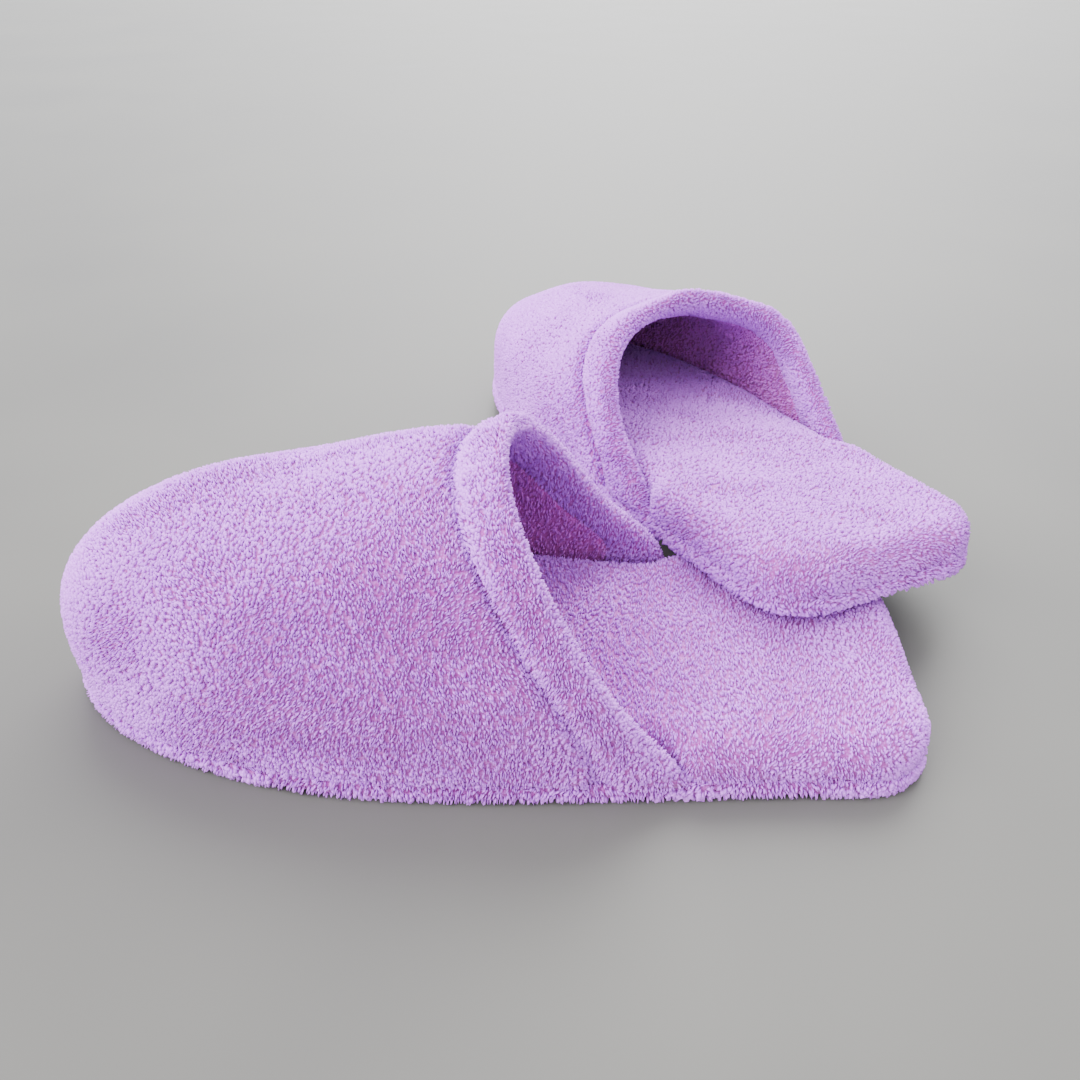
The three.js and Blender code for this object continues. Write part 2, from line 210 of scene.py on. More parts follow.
# %% Opening
def opening_x(side, girth):
    """Where the cuff's lip runs."""
    up = rise(side, girth)
    on_right = girth > 0.5
    pulled = LIP_PULL[side] * np.exp(-(((up - PULL_RISE) / PULL_REACH) ** 2)) * on_right
    return mix(OPENING_SIDE, OPENING_TOP, up**OPENING_BOW) - pulled


def seam_x(side, girth):
    """Where the cuff is sewn to the vamp."""
    spread = CUFF_HEM_SPREAD * (1 - rise(side, girth)) ** CUFF_HEM_TAPER
    return opening_x(side, girth) + CUFF_WIDTH[side] + spread


def skin(side, girth, x, inset):
    """The upper's surface, inset by so many millimetres."""
    wall, angle = girth_parts(girth)
    toward = np.clip((x - OPENING_TOP) / (LENGTH - inset - OPENING_TOP), 0, 1)
    ridge = INSTEP[side] - TOE_FALL * toward - inset
    dome = (ridge - SOLE_HEIGHT) * (1 - toward**TOE_DROP) ** (1 / TOE_DROP)
    y = half_width(x, inset) * bow(side, np.cos(angle))
    z = mix(HEM_Z, SOLE_HEIGHT, wall) + dome * bow(side, np.sin(angle))
    return np.stack(np.broadcast_arrays(x, y, z), -1)


for side in SIDES:
    lip = opening_x(side, np.array([0.0, 0.5, 1.0]))
    print(side, "lip, left, top and right, from the heel in mm:", np.round(lip, 1))

# %% [markdown]
# ## Softness
# Cloth over wadding is never quite even. A smooth random field, a sum of a few long waves,
# gives every surface a slow swell, and turns the lie of the loops in lazy swirls. Blender's
# own noise could do it point by point, but a sum of sines takes a whole grid at once.

# %% Slow random field
WAVES, FIELD_PEAK = 7, 1.6
SEEDS = {
    "upper": 11, "pucker": 21, "vamp_pile": 32, "lining_pile": 42,
    "cuff_pile": 51, "pad": 61, "insole_pile": 71, "rim_pile": 81,
}


def seed_of(what, side):
    return SEEDS[what] + SIDES.index(side)


def waves(seed, length):
    """A smooth field over points, about -1 to 1, whose swells are about length across."""
    draw = np.random.default_rng(seed)
    turns = draw.normal(size=(WAVES, 3))
    spin = (2 * math.pi / length) * draw.uniform(0.6, 1.4, (WAVES, 1))
    turns *= spin / np.linalg.norm(turns, axis=1, keepdims=True)
    phases = draw.uniform(0, 2 * math.pi, WAVES)

    def field(points):
        return np.sin(points @ turns.T + phases).sum(-1) / math.sqrt(WAVES / 2) / FIELD_PEAK

    return field


# %% [markdown]
# ## Meshes from grids
# Every piece of cloth here is a grid of points, so its faces are quads that follow the cloth.
# Grids are joined into one closed mesh by welding the points that fall on each other. A mesh
# could also be thickened with Solidify, but two grids of their own let each face differ.

# %% Mesh helpers
WELD = 0.01 * MM


def quads(rows, columns, first=0, wrap=False, flip=False):
    """The faces of a grid whose points are numbered row by row."""
    across = columns if wrap else columns - 1
    i, j = np.meshgrid(np.arange(rows - 1), np.arange(across), indexing="ij")
    after = (j + 1) % columns
    a, b = i * columns + j, (i + 1) * columns + j
    c, d = (i + 1) * columns + after, i * columns + after
    order = [a, d, c, b] if flip else [a, b, c, d]
    return np.stack(order, -1).reshape(-1, 4) + first


def add_piece(name, side, points, faces, material):
    """A smooth-shaded mesh of a slipper, welded, riding on that slipper's body."""
    mesh = bpy.data.meshes.new(name)
    mesh.from_pydata(place(side, points).tolist(), [], [list(face) for face in faces])
    mesh.materials.append(material)
    piece = bpy.data.objects.new(name, mesh)
    bpy.context.scene.collection.objects.link(piece)
    shape = bmesh.new()
    shape.from_mesh(mesh)
    bmesh.ops.remove_doubles(shape, verts=shape.verts, dist=WELD)
    bmesh.ops.dissolve_degenerate(shape, edges=shape.edges, dist=WELD / 2)
    bmesh.ops.recalc_face_normals(shape, faces=shape.faces)
    shape.to_mesh(mesh)
    open_edges = sum(len(edge.link_faces) != 2 for edge in shape.edges)
    shape.free()
    mesh.polygons.foreach_set("use_smooth", [True] * len(mesh.polygons))
    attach(piece, side + "_slipper")
    print(f"{name}: {len(mesh.polygons)} faces, {open_edges} open edges")
    return piece


def shell(outer, inner):
    """A closed shell between two grids of the same size."""
    rows, columns = outer.shape[:2]
    points = np.concatenate([outer.reshape(-1, 3), inner.reshape(-1, 3)])
    count = rows * columns
    faces = [quads(rows, columns), quads(rows, columns, count, flip=True)]
    number = np.arange(count).reshape(rows, columns)
    for edge in (number[0], number[-1][::-1], number[:, 0][::-1], number[:, -1]):
        faces.append(np.stack([edge[:-1], edge[1:], edge[1:] + count, edge[:-1] + count], -1))
    return points, np.concatenate(faces)


# %% [markdown]
# ## Towelling loops
# Terry is a woven ground with a pile of standing yarn loops. They could be hair, but hair is
# lost in an export, or bump, but bump leaves the outline bald. So each loop is a small grain
# of mesh: two ends in the ground, two sides and a rounded ridge. The loops of a real towel
# are finer than the eye resolves here, so each grain stands for a tuft of them. They lie
# mostly across the foot, and a slow field turns them in swirls.

# %% One loop
TUFT_LENGTH, TUFT_WIDTH, TUFT_HEIGHT, TUFT_ROOT = 1.9, 0.54, 1.1, 0.25
TUFT_SPREAD = (0.72, 1.3)  # of each size, from tuft to tuft
SWIRL, SWIRL_LENGTH, TURN_SPREAD, LEAN_SPREAD = 0.5, 30, 0.3, 0.25
ACROSS_THE_FOOT = (1.0, 0.0, 0.12)
LOWEST, TINY = 0.02, 1e-9
TUFT_FACES = np.array(
    [(0, 4, 3), (0, 2, 4), (3, 4, 5), (2, 5, 4), (1, 3, 5), (1, 5, 2), (0, 3, 1), (0, 1, 2)]
)
TUFT_TIP = np.array([0.0, 0.0, 0.3, 0.3, 1.0, 1.0])
# where its points lie in its own small square of the map, and where its hidden faces do
TUFT_MAP = np.array(
    [(0.06, 0.5), (0.94, 0.5), (0.5, 0.06), (0.5, 0.94), (0.36, 0.5), (0.64, 0.5)]
)
HIDDEN_MAP = np.array([(0.02, 0.02), (0.14, 0.02), (0.02, 0.14)])
FIRST_HIDDEN_FACE = 6
print("a tuft:", TUFT_LENGTH, "by", TUFT_WIDTH, "by", TUFT_HEIGHT, "mm")


# %% Spots for the loops
def unit(vectors):
    return vectors / np.maximum(np.linalg.norm(vectors, axis=-1, keepdims=True), TINY)


def grid_normals(grid, wrap):
    along = np.gradient(grid, axis=0)
    if wrap:
        across = (np.roll(grid, -1, 1) - np.roll(grid, 1, 1)) / 2
    else:
        across = np.gradient(grid, axis=1)
    return unit(np.cross(along, across))


def cell_corners(grid, wrap):
    """The four corners of every cell of a grid."""
    here = grid if wrap else grid[:, :-1]
    after = np.roll(grid, -1, 1) if wrap else grid[:, 1:]
    return np.stack([here[:-1], here[1:], after[1:], after[:-1]]).reshape(4, -1, 3)


def spots(grid, normals, density, draw, wrap=False):
    """Evenly strewn points of a grid and the normals there, density to a square millimetre."""
    faces = [cell_corners(values, wrap) for values in (grid, normals)]
    corners = faces[0]
    area = np.linalg.norm(np.cross(corners[2] - corners[0], corners[3] - corners[1]), axis=1) / 2
    total = np.cumsum(area)
    count = int(total[-1] * density)
    reached = (np.arange(count) + draw.uniform(0, 1, count)) / count * total[-1]
    face = np.minimum(np.searchsorted(total, reached), len(area) - 1)
    u, v = draw.uniform(0, 1, (2, count, 1))
    blend = [(1 - u) * (1 - v), u * (1 - v), u * v, (1 - u) * v]
    foot, normal = (sum(b * f[k][face] for k, b in enumerate(blend)) for f in faces)
    return foot, unit(normal)


# %% Shape of the loops
def tuft_points(foot, normal, size, seed, draw):
    """Six points for each tuft, from the spots where they stand."""
    count = len(foot)
    across = unit(np.cross(normal, ACROSS_THE_FOOT))
    turn = SWIRL * waves(seed + 1, SWIRL_LENGTH)(foot) + draw.normal(0, TURN_SPREAD, count)
    other = np.cross(normal, across)
    lie = across * np.cos(turn)[:, None] + other * np.sin(turn)[:, None]
    beside = np.cross(normal, lie)
    length, width, height = (
        part * size * draw.uniform(*TUFT_SPREAD, (count, 1))
        for part in (TUFT_LENGTH, TUFT_WIDTH, TUFT_HEIGHT)
    )
    lean = draw.normal(0, LEAN_SPREAD, (count, 1)) * width
    crest = foot + normal * height + beside * lean
    root = foot - normal * TUFT_ROOT
    ends = (root - lie * length / 2, root + lie * length / 2)
    sides = (foot - beside * width / 2, foot + beside * width / 2)
    ridge = (crest - lie * length / 5, crest + lie * length / 5)
    points = np.stack([*ends, *sides, *ridge], 1)
    points[..., 2] = np.maximum(points[..., 2], LOWEST)
    return points


# %% Growing the loops
def add_pile(name, side, grid, density, seed, material, wrap=False, keep=None, size=1.0):
    """Loops on a grid of a slipper, on the side that the grid faces."""
    draw = np.random.default_rng(seed)
    foot, normal = spots(grid, grid_normals(grid, wrap), density, draw, wrap)
    if keep is not None:
        chosen = keep(foot, normal)
        foot, normal = foot[chosen], normal[chosen]
    points = tuft_points(foot, normal, size, seed, draw)
    count, corners = points.shape[:2]
    faces = (TUFT_FACES[None] + corners * np.arange(count)[:, None, None]).reshape(-1, 3)
    mesh = bpy.data.meshes.new(name)
    mesh.vertices.add(corners * count)
    mesh.vertices.foreach_set("co", place(side, points.reshape(-1, 3)).ravel())
    mesh.loops.add(3 * len(faces))
    mesh.loops.foreach_set("vertex_index", faces.ravel())
    mesh.polygons.add(len(faces))
    mesh.polygons.foreach_set("loop_start", np.arange(0, 3 * len(faces), 3))
    mesh.update(calc_edges=True)
    mesh.polygons.foreach_set("use_smooth", [True] * len(faces))
    tip = mesh.attributes.new("tuft_height", "FLOAT", "POINT")
    tip.data.foreach_set("value", np.tile(TUFT_TIP, count))
    tone = mesh.attributes.new("tuft_tone", "FLOAT", "POINT")
    tone.data.foreach_set("value", np.repeat(draw.uniform(0, 1, count), corners))
    # each tuft has its own small square of the map
    cells = math.ceil(math.sqrt(count))
    square = np.stack([np.arange(count) % cells, np.arange(count) // cells], -1)[:, None, None]
    local = TUFT_MAP[TUFT_FACES]
    local[FIRST_HIDDEN_FACE:] = HIDDEN_MAP
    layout = (square + local[None]) / cells
    mesh.uv_layers.new(name="OFBake").data.foreach_set("uv", layout.ravel())
    mesh.materials.append(material)
    piece = bpy.data.objects.new(name, mesh)
    bpy.context.scene.collection.objects.link(piece)
    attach(piece, side + "_slipper")
    print(f"{name}: {count} loops")
    return piece


# %% [markdown]
# ## Colours and nodes
# Colours are written as sRGB hex, as a dye card gives them, and turned to the linear values
# that the shader works with. One function adds a node with its settings and links, so each
# material reads as a list of its nodes.

# %% Colours
def linear(hex_colour):
    """The linear red, green and blue of an sRGB hex colour, and a full alpha."""
    parts = [int(hex_colour[i : i + 2], 16) / 255 for i in (1, 3, 5)]
    curve = [p / 12.92 if p <= 0.04045 else ((p + 0.055) / 1.055) ** 2.4 for p in parts]
    return (*curve, 1.0)


def grey(value):
    return (value, value, value, 1.0)


# %% Nodes
def add_node(tree, kind, inputs=None, stops=None, **settings):
    """Adds a node. inputs maps a socket to a value or to the output that feeds it."""
    made = tree.nodes.new(kind)
    for name, value in settings.items():
        setattr(made, name, value)
    for socket, value in (inputs or {}).items():
        if isinstance(value, bpy.types.NodeSocket):
            tree.links.new(value, made.inputs[socket])
        else:
            made.inputs[socket].default_value = value
    for i, (position, colour) in enumerate(stops or []):
        stop = made.color_ramp.elements[i] if i < 2 else made.color_ramp.elements.new(position)
        stop.position, stop.color = position, colour
    return made


def new_material(name):
    material = bpy.data.materials.new(name)
    material.use_nodes = True
    tree = material.node_tree
    tree.nodes.clear()
    out = tree.nodes.new("ShaderNodeOutputMaterial")
    return material, tree, out


# %% [markdown]
# ## Terry
# The pile is soft spun cotton, piece-dyed lilac. Light goes into the loops and comes out
# redder, and the loops shade each other, so each loop is painted darkest and reddest at its
# root, as painted shade, and palest at its crest. There is no gloss, only the bloom of fibre
# ends, which sheen gives. Scattering and shade inside the cloth could be worked out by the
# shader, but a painted ramp up each loop shows much the same and renders sooner.
# The lining is the same cloth, painted a little darker and redder as the shade inside the upper.

# %% Loops of spun cotton
def terry_pile(name, root, middle, crest, sheen):
    """Cotton loops: the ramp paints shade at their roots, the tone tells one tuft from the next.
    """
    material, tree, out = new_material(name)
    height = add_node(tree, "ShaderNodeAttribute", attribute_name="tuft_height")
    tone = add_node(tree, "ShaderNodeAttribute", attribute_name="tuft_tone")
    coords = add_node(tree, "ShaderNodeTexCoord")
    # painted shade: each loop is darkest and reddest at its root and palest at its crest
    root_shade = add_node(
        tree, "ShaderNodeValToRGB", {"Fac": height.outputs["Fac"]},
        stops=[(0.0, linear(root)), (1.0, linear(crest)), (0.45, linear(middle))],
    )
    yarn = add_node(
        tree, "ShaderNodeValToRGB", {"Fac": tone.outputs["Fac"]},
        stops=[(0.0, (0.80, 0.76, 0.83, 1)), (1.0, grey(1.0)), (0.35, (0.95, 0.93, 0.96, 1))],
    )
    # the colour is a little darker in soft random patches about 40 mm across
    patches = add_node(
        tree, "ShaderNodeTexNoise",
        {"Vector": coords.outputs["Object"], "Scale": 1 / (40 * MM), "Detail": 2.0},
    )
    mottle = add_node(
        tree, "ShaderNodeValToRGB", {"Fac": patches.outputs["Fac"]},
        stops=[(0.3, (0.93, 0.91, 0.94, 1)), (0.7, grey(1.0))],
    )
    shaded_loops = add_node(
        tree, "ShaderNodeMix", {0: 1.0, 6: root_shade.outputs["Color"], 7: yarn.outputs["Color"]},
        data_type="RGBA", blend_type="MULTIPLY",
    )
    mottled = add_node(
        tree, "ShaderNodeMix", {0: 1.0, 6: shaded_loops.outputs[2], 7: mottle.outputs["Color"]},
        data_type="RGBA", blend_type="MULTIPLY",
    )
    # single fibres are 0.02 mm thick, too fine to show, so the fuzz is drawn at 0.25 mm
    fibres = add_node(
        tree, "ShaderNodeTexNoise",
        {"Vector": coords.outputs["Object"], "Scale": 1 / (0.25 * MM), "Detail": 3.0},
    )
    dryness = add_node(
        tree, "ShaderNodeMapRange",
        {"Value": fibres.outputs["Fac"], "To Min": 0.82, "To Max": 1.0},
    )
    fuzz = add_node(
        tree, "ShaderNodeBump",
        {"Height": fibres.outputs["Fac"], "Strength": 0.35, "Distance": 0.12 * MM},
    )
    cloth = add_node(
        tree, "ShaderNodeBsdfPrincipled",
        {
            "Base Color": mottled.outputs[2], "Roughness": dryness.outputs["Result"],
            "Normal": fuzz.outputs["Normal"], "Specular IOR Level": 0.15,
            "Sheen Weight": sheen, "Sheen Roughness": 0.55, "Sheen Tint": linear("#F0DCFA"),
        },
    )
    tree.links.new(cloth.outputs["BSDF"], out.inputs["Surface"])
    return material


# %% Woven cotton ground
def terry_ground(name, dark, pale):
    """The cloth that the loops stand on, dull and painted dark as shade, seen only between them.
    """
    material, tree, out = new_material(name)
    coords = add_node(tree, "ShaderNodeTexCoord")
    # warp and weft of 0.5 mm yarn, drawn at 0.8 mm so that the weave shows
    weave = add_node(
        tree, "ShaderNodeTexVoronoi",
        {"Vector": coords.outputs["Object"], "Scale": 1 / (0.8 * MM), "Randomness": 0.6},
    )
    colour = add_node(
        tree, "ShaderNodeValToRGB", {"Fac": weave.outputs["Distance"]},
        stops=[(0.1, linear(pale)), (0.7, linear(dark))],
    )
    relief = add_node(
        tree, "ShaderNodeBump",
        {"Height": weave.outputs["Distance"], "Strength": 0.6, "Distance": 0.25 * MM},
        invert=True,
    )
    dryness = add_node(
        tree, "ShaderNodeMapRange",
        {"Value": weave.outputs["Distance"], "To Min": 0.88, "To Max": 1.0},
    )
    cloth = add_node(
        tree, "ShaderNodeBsdfPrincipled",
        {
            "Base Color": colour.outputs["Color"], "Roughness": dryness.outputs["Result"],
            "Normal": relief.outputs["Normal"], "Specular IOR Level": 0.1,
            "Sheen Weight": 0.2, "Sheen Roughness": 0.6,
        },
    )
    tree.links.new(cloth.outputs["BSDF"], out.inputs["Surface"])
    return material


# %% The two dyes
# root, middle and crest: the dark red root colour is painted shade between the loops
lilac_pile = terry_pile("lilac_cotton_loops", "#9E3286", "#C46ADE", "#D07CF4", 0.12)
# the lining's loops, and its ground below, are a little darker and redder: painted shade inside
# the upper
lining_pile = terry_pile("lilac_lining_loops", "#9E2E80", "#C45ACC", "#D070E2", 0.1)
# each ground is painted darker than its loops, as the shade that falls between them
lilac_ground = terry_ground("lilac_terry_ground", "#93328E", "#B562C2")
lining_ground = terry_ground("lilac_lining_ground", "#8E2C80", "#B054B6")
print("terry:", [m.name for m in (lilac_pile, lining_pile, lilac_ground, lining_ground)])

# %% [markdown]
# ## Thread, filling and sole materials
# The rest is hardly seen: spun polyester thread in the seams, white polyester wadding in the
# upper, cream open-cell foam under the insole, a pale EVA board, and under the sole a woven
# cloth with soft rubber dots that keep it from slipping. Each is one texture at its real
# size, which sets colour, roughness and relief together, as a real grain does.

# %% A finish of one grain
def plain_material(
    name, dark, pale, texture, scale, share, roughness, bump, specular=0.3, sheen=0.0
):
    """scale and bump are in millimetres, and share is where the ramp starts and ends."""
    material, tree, out = new_material(name)
    coords = add_node(tree, "ShaderNodeTexCoord")
    grain = add_node(
        tree, texture, {"Vector": coords.outputs["Object"], "Scale": 1 / (scale * MM)}
    )
    value = grain.outputs[0]
    colour = add_node(
        tree, "ShaderNodeValToRGB", {"Fac": value},
        stops=[(share[0], linear(dark)), (share[1], linear(pale))],
    )
    dry = add_node(
        tree, "ShaderNodeMapRange",
        {"Value": value, "To Min": roughness[0], "To Max": roughness[1]},
    )
    relief = add_node(
        tree, "ShaderNodeBump", {"Height": value, "Strength": 0.5, "Distance": bump * MM}
    )
    body = add_node(
        tree, "ShaderNodeBsdfPrincipled",
        {
            "Base Color": colour.outputs["Color"], "Roughness": dry.outputs["Result"],
            "Normal": relief.outputs["Normal"], "Specular IOR Level": specular,
            "Sheen Weight": sheen,
        },
    )
    tree.links.new(body.outputs["BSDF"], out.inputs["Surface"])
    return material


# %% Thread, wadding, foam, board and rubber
# the wave repeats every 0.7 mm along the thread, as its plies turn, and polyester is less
# dull than the cotton round it
thread_finish = plain_material(
    "spun_polyester_thread", "#8E3A96", "#AE5CC4", "ShaderNodeTexWave", scale=2.2,
    share=(0.1, 0.9), roughness=(0.5, 0.7), bump=0.08,
)
# loose white fibres, drawn in clumps of 1.4 mm
wadding_finish = plain_material(
    "polyester_wadding", "#DCD8D2", "#F6F3EE", "ShaderNodeTexNoise", scale=1.4,
    share=(0.35, 0.65), roughness=(0.85, 1.0), bump=0.4, specular=0.2, sheen=0.3,
)
# open cells of 0.9 mm, dull and cream
foam_finish = plain_material(
    "open_cell_foam", "#D8CBA2", "#F1E8CB", "ShaderNodeTexVoronoi", scale=0.9,
    share=(0.1, 0.6), roughness=(0.8, 0.95), bump=0.3, specular=0.2,
)
# moulded closed-cell sheet, with a fine skin
board_finish = plain_material(
    "eva_board", "#DEDEDA", "#F0F0EC", "ShaderNodeTexNoise", scale=0.7,
    share=(0.3, 0.7), roughness=(0.6, 0.75), bump=0.05, specular=0.4,
)
# printed dots, smoother than the cloth round them
rubber_finish = plain_material(
    "soft_rubber_dots", "#D9CFDF", "#EDE6F0", "ShaderNodeTexNoise", scale=1.2,
    share=(0.3, 0.7), roughness=(0.45, 0.6), bump=0.03, specular=0.5,
)

# %% Woven outsole
YARN = 0.9


def woven_outsole():
    """Plain-woven polyester, with a little sheen along its yarns."""
    material, tree, out = new_material("woven_polyester_outsole")
    coords = add_node(tree, "ShaderNodeTexCoord")
    spread = add_node(tree, "ShaderNodeSeparateXYZ", {"Vector": coords.outputs["Object"]})
    # one sine along each set of threads, over one yarn and under the next
    turns = 2 * math.pi / (2 * YARN * MM)
    threads = []
    for axis in ("X", "Y"):
        turned = add_node(
            tree, "ShaderNodeMath", {0: spread.outputs[axis], 1: turns}, operation="MULTIPLY"
        )
        threads.append(add_node(tree, "ShaderNodeMath", {0: turned.outputs[0]}, operation="SINE"))
    crossing = add_node(
        tree, "ShaderNodeMath", {0: threads[0].outputs[0], 1: threads[1].outputs[0]},
        operation="MULTIPLY",
    )
    height = add_node(
        tree, "ShaderNodeMapRange",
        {"Value": crossing.outputs[0], "From Min": -1.0, "From Max": 1.0},
    )
    colour = add_node(
        tree, "ShaderNodeValToRGB", {"Fac": height.outputs["Result"]},
        stops=[(0.15, linear("#B7A9C2")), (0.75, linear("#DDD3E4"))],
    )
    relief = add_node(
        tree, "ShaderNodeBump",
        {"Height": height.outputs["Result"], "Strength": 0.7, "Distance": 0.25 * MM},
    )
    dry = add_node(
        tree, "ShaderNodeMapRange",
        {"Value": height.outputs["Result"], "To Min": 0.9, "To Max": 0.7},
    )
    cloth = add_node(
        tree, "ShaderNodeBsdfPrincipled",
        {
            "Base Color": colour.outputs["Color"], "Roughness": dry.outputs["Result"],
            "Normal": relief.outputs["Normal"], "Specular IOR Level": 0.25, "Sheen Weight": 0.15,
        },
    )
    tree.links.new(cloth.outputs["BSDF"], out.inputs["Surface"])
    return material


outsole_finish = woven_outsole()
print("materials so far:", len(bpy.data.materials))

# %% [markdown]
# ## The upper
# The vamp is three layers quilted together: terry outside, wadding, terry lining. All three
# are sewn to the cuff along one seam and to the sole round the hem, so the cloth dips into a
# groove at both and swells beside it. The layers are grids from the seam to the toe.
# A sewn shell could be inflated with Cloth, but these layers are thin and lie close, so
# formulas keep each one at its own depth.

# %% Padded skin
GIRTHS, LENGTHS, CROWDING = 131, 92, 1.7
PILE_SINK = 0.75  # the ground lies this far under the solid's skin, and the loops fill it
SWELL_LENGTH, PUCKER_LENGTH = 52, 7
SWELL = {side: waves(seed_of("upper", side), SWELL_LENGTH) for side in SIDES}
PUCKER = {side: waves(seed_of("pucker", side), PUCKER_LENGTH) for side in SIDES}
girths = np.linspace(0, 1, GIRTHS)[:, None]


def softened(side, girth, x, inset):
    """The skin with the slow swell of padded cloth, which dies out at the hem."""
    flat = skin(side, girth, x, inset)
    wall, _ = girth_parts(girth)
    return skin(side, girth, x, inset - SWELL[side](flat) * wall)


# %% Vamp grids
SEAM_LEAD, WADDING_LEAD = -0.4, 2.5  # how far past the seam a layer starts
PINCH_DEPTH, PINCH_REACH = 1.7, 1.9
RIDGE_HEIGHT, RIDGE_REACH = 0.9, 6
PUCKER_DEPTH, PUCKER_REACH = 0.35, 4
HEM_DEPTH, HEM_SHARE, DEEPEST, TOE_FADE = 0.5, 2.5, 3, 12


def vamp_grid(side, inset, groove=0.0, lead=SEAM_LEAD):
    """A layer from its seam to the toe. groove is how much it dips at its seams."""
    start = seam_x(side, girths) + lead
    share = 1 - (1 - np.linspace(0, 1, LENGTHS)[None]) ** CROWDING
    ends = LENGTH - inset
    x = mix(start, ends, share)
    wall, _ = girth_parts(girths)
    from_seam = x - start
    pinch = PINCH_DEPTH * np.exp(-((from_seam / PINCH_REACH) ** 2))
    ridge = RIDGE_HEIGHT * (from_seam / RIDGE_REACH) * np.exp(1 - from_seam / RIDGE_REACH)
    pucker = PUCKER[side](skin(side, girths, x, inset)) * np.exp(-from_seam / PUCKER_REACH)
    dip = groove * (pinch - ridge) + groove * PUCKER_DEPTH * pucker
    hem = groove * HEM_DEPTH * np.clip(1 - wall * HEM_SHARE, 0, 1) ** 2
    sunk = np.minimum(inset + dip + hem, inset + DEEPEST)
    fade = smooth((LENGTH - x) / TOE_FADE)
    return softened(side, girths, np.minimum(x, ends), mix(inset, sunk, fade))


# %% The three layers and their loops
vamps = {}
for side in SIDES:
    outer = vamp_grid(side, PILE_SINK, 1.0)
    under = vamp_grid(side, TERRY, 0.6)
    wad = [vamp_grid(side, TERRY + GAP + depth, lead=WADDING_LEAD) for depth in (0, WADDING)]
    inner = vamp_grid(side, UPPER - LINING), vamp_grid(side, UPPER - PILE_SINK)
    vamps[side] = outer, inner[1]
    terry = add_piece(side + "_vamp_cloth", side, *shell(outer, under), lilac_ground)
    wadding = add_piece(side + "_vamp_padding", side, *shell(*wad), wadding_finish)
    lining = add_piece(side + "_vamp_lining_cloth", side, *shell(*inner), lining_ground)
    pile = add_pile(
        side + "_vamp_pile", side, outer, 1.3, seed_of("vamp_pile", side), lilac_pile
    )
    inside = add_pile(
        side + "_lining_pile", side, inner[1][:, ::-1], 0.75, seed_of("lining_pile", side),
        lining_pile,
    )
    for piece, node, slot in (
        (terry, "vamp_terry", "terry"), (wadding, "vamp_wadding", "wadding"),
        (lining, "vamp_lining", "lining_terry"),
    ):
        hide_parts(side + "_" + node)

# %% [markdown]
# ## The cuff
# The opening is bound by a band of terry folded over wadding. Its lip is a soft round edge
# and it is pinched where it is sewn to the vamp. Its section is a closed loop that runs from
# the seam out over the lip and back inside, and the loop follows the slanting opening. A
# bevelled curve has one round section all along, and this one changes as it goes.

# %% Cuff grids
CUFF_GIRTHS, HALF_SECTION, SECTION_CROWDING = 121, 15, 0.8
CUFF_ROUND = 0.3  # share of the width over which the lip is rounded
PINCH_FROM, PINCH_OVER, PINCH_OUTSIDE, PINCH_INSIDE = 0.62, 0.38, 1.7, 0.9
CUFF_PUCKER, CUFF_HEM_TUCK, MID_CUFF = 0.07, 0.8, 8


def cuff_grid(side, sink):
    """Rows follow the girth and columns run round the section. sink draws the skin inwards."""
    girth = np.linspace(0, 1, CUFF_GIRTHS)[:, None]
    quarter = np.linspace(0, math.pi / 2, HALF_SECTION)[None]
    across = (1 - np.cos(quarter)) ** SECTION_CROWDING
    lip = np.sqrt(1 - (1 - np.minimum(across / CUFF_ROUND, 1)) ** 2)
    pinch = smooth((across - PINCH_FROM) / PINCH_OVER)
    middle = UPPER / 2
    outside = (middle + CUFF_PROUD - sink) * lip - (CUFF_PROUD + PINCH_OUTSIDE) * pinch * lip
    inside = (middle - sink) * lip - PINCH_INSIDE * pinch
    lip_x = opening_x(side, girth)
    swell = 1 + CUFF_PUCKER * PUCKER[side](skin(side, girth, lip_x + MID_CUFF, middle))
    wall, angle = girth_parts(girth)
    tucked = CUFF_HEM_TUCK * np.clip(1 - wall * 2, 0, 1) ** 2
    x = mix(lip_x + sink * (1 - across) ** 2, seam_x(side, girth), across)
    lift = CUFF_FLARE * (1 - across) ** 2 * np.sin(angle)
    rings = []
    for inset in (middle - outside * swell + tucked, middle + inside * swell):
        part = softened(side, girth, x, inset)
        part[..., 2] += lift
        rings.append(part)
    return np.concatenate([rings[0][:, ::-1], rings[1][:, 1:]], 1)


# %% Cuffs
def closed_ends(grid):
    """A tube of rings, closed by drawing the first and the last one together."""
    first, last = (np.broadcast_to(grid[i].mean(0), grid[i].shape)[None] for i in (0, -1))
    return np.concatenate([first, grid, last])


for side in SIDES:
    band = cuff_grid(side, PILE_SINK)
    tube = closed_ends(band)
    rows, columns = tube.shape[:2]
    faces = quads(rows, columns, wrap=True)
    cuff = add_piece(side + "_cuff_band", side, tube.reshape(-1, 3), faces, lilac_ground)
    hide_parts(side + "_opening_cuff")
    pile = add_pile(
        side + "_cuff_pile", side, band[:, ::-1], 1.5, seed_of("cuff_pile", side), lilac_pile
    )

# %% [markdown]
# ## The padded insole
# A slab of foam under a terry cover makes the footbed. The cover is pulled down over the
# foam's edges, so they are round, and the top is a little crowned. A box with a bevel and a
# subdivision would do for a straight pad, but this outline narrows into the upper. So loops
# round the outline climb the side, turn over the edge and close in on the middle line.

# %% Points round the outline
HEEL_POINTS, WAIST_POINTS, TOE_POINTS, BACK_POINTS = 9, 50, 36, 30


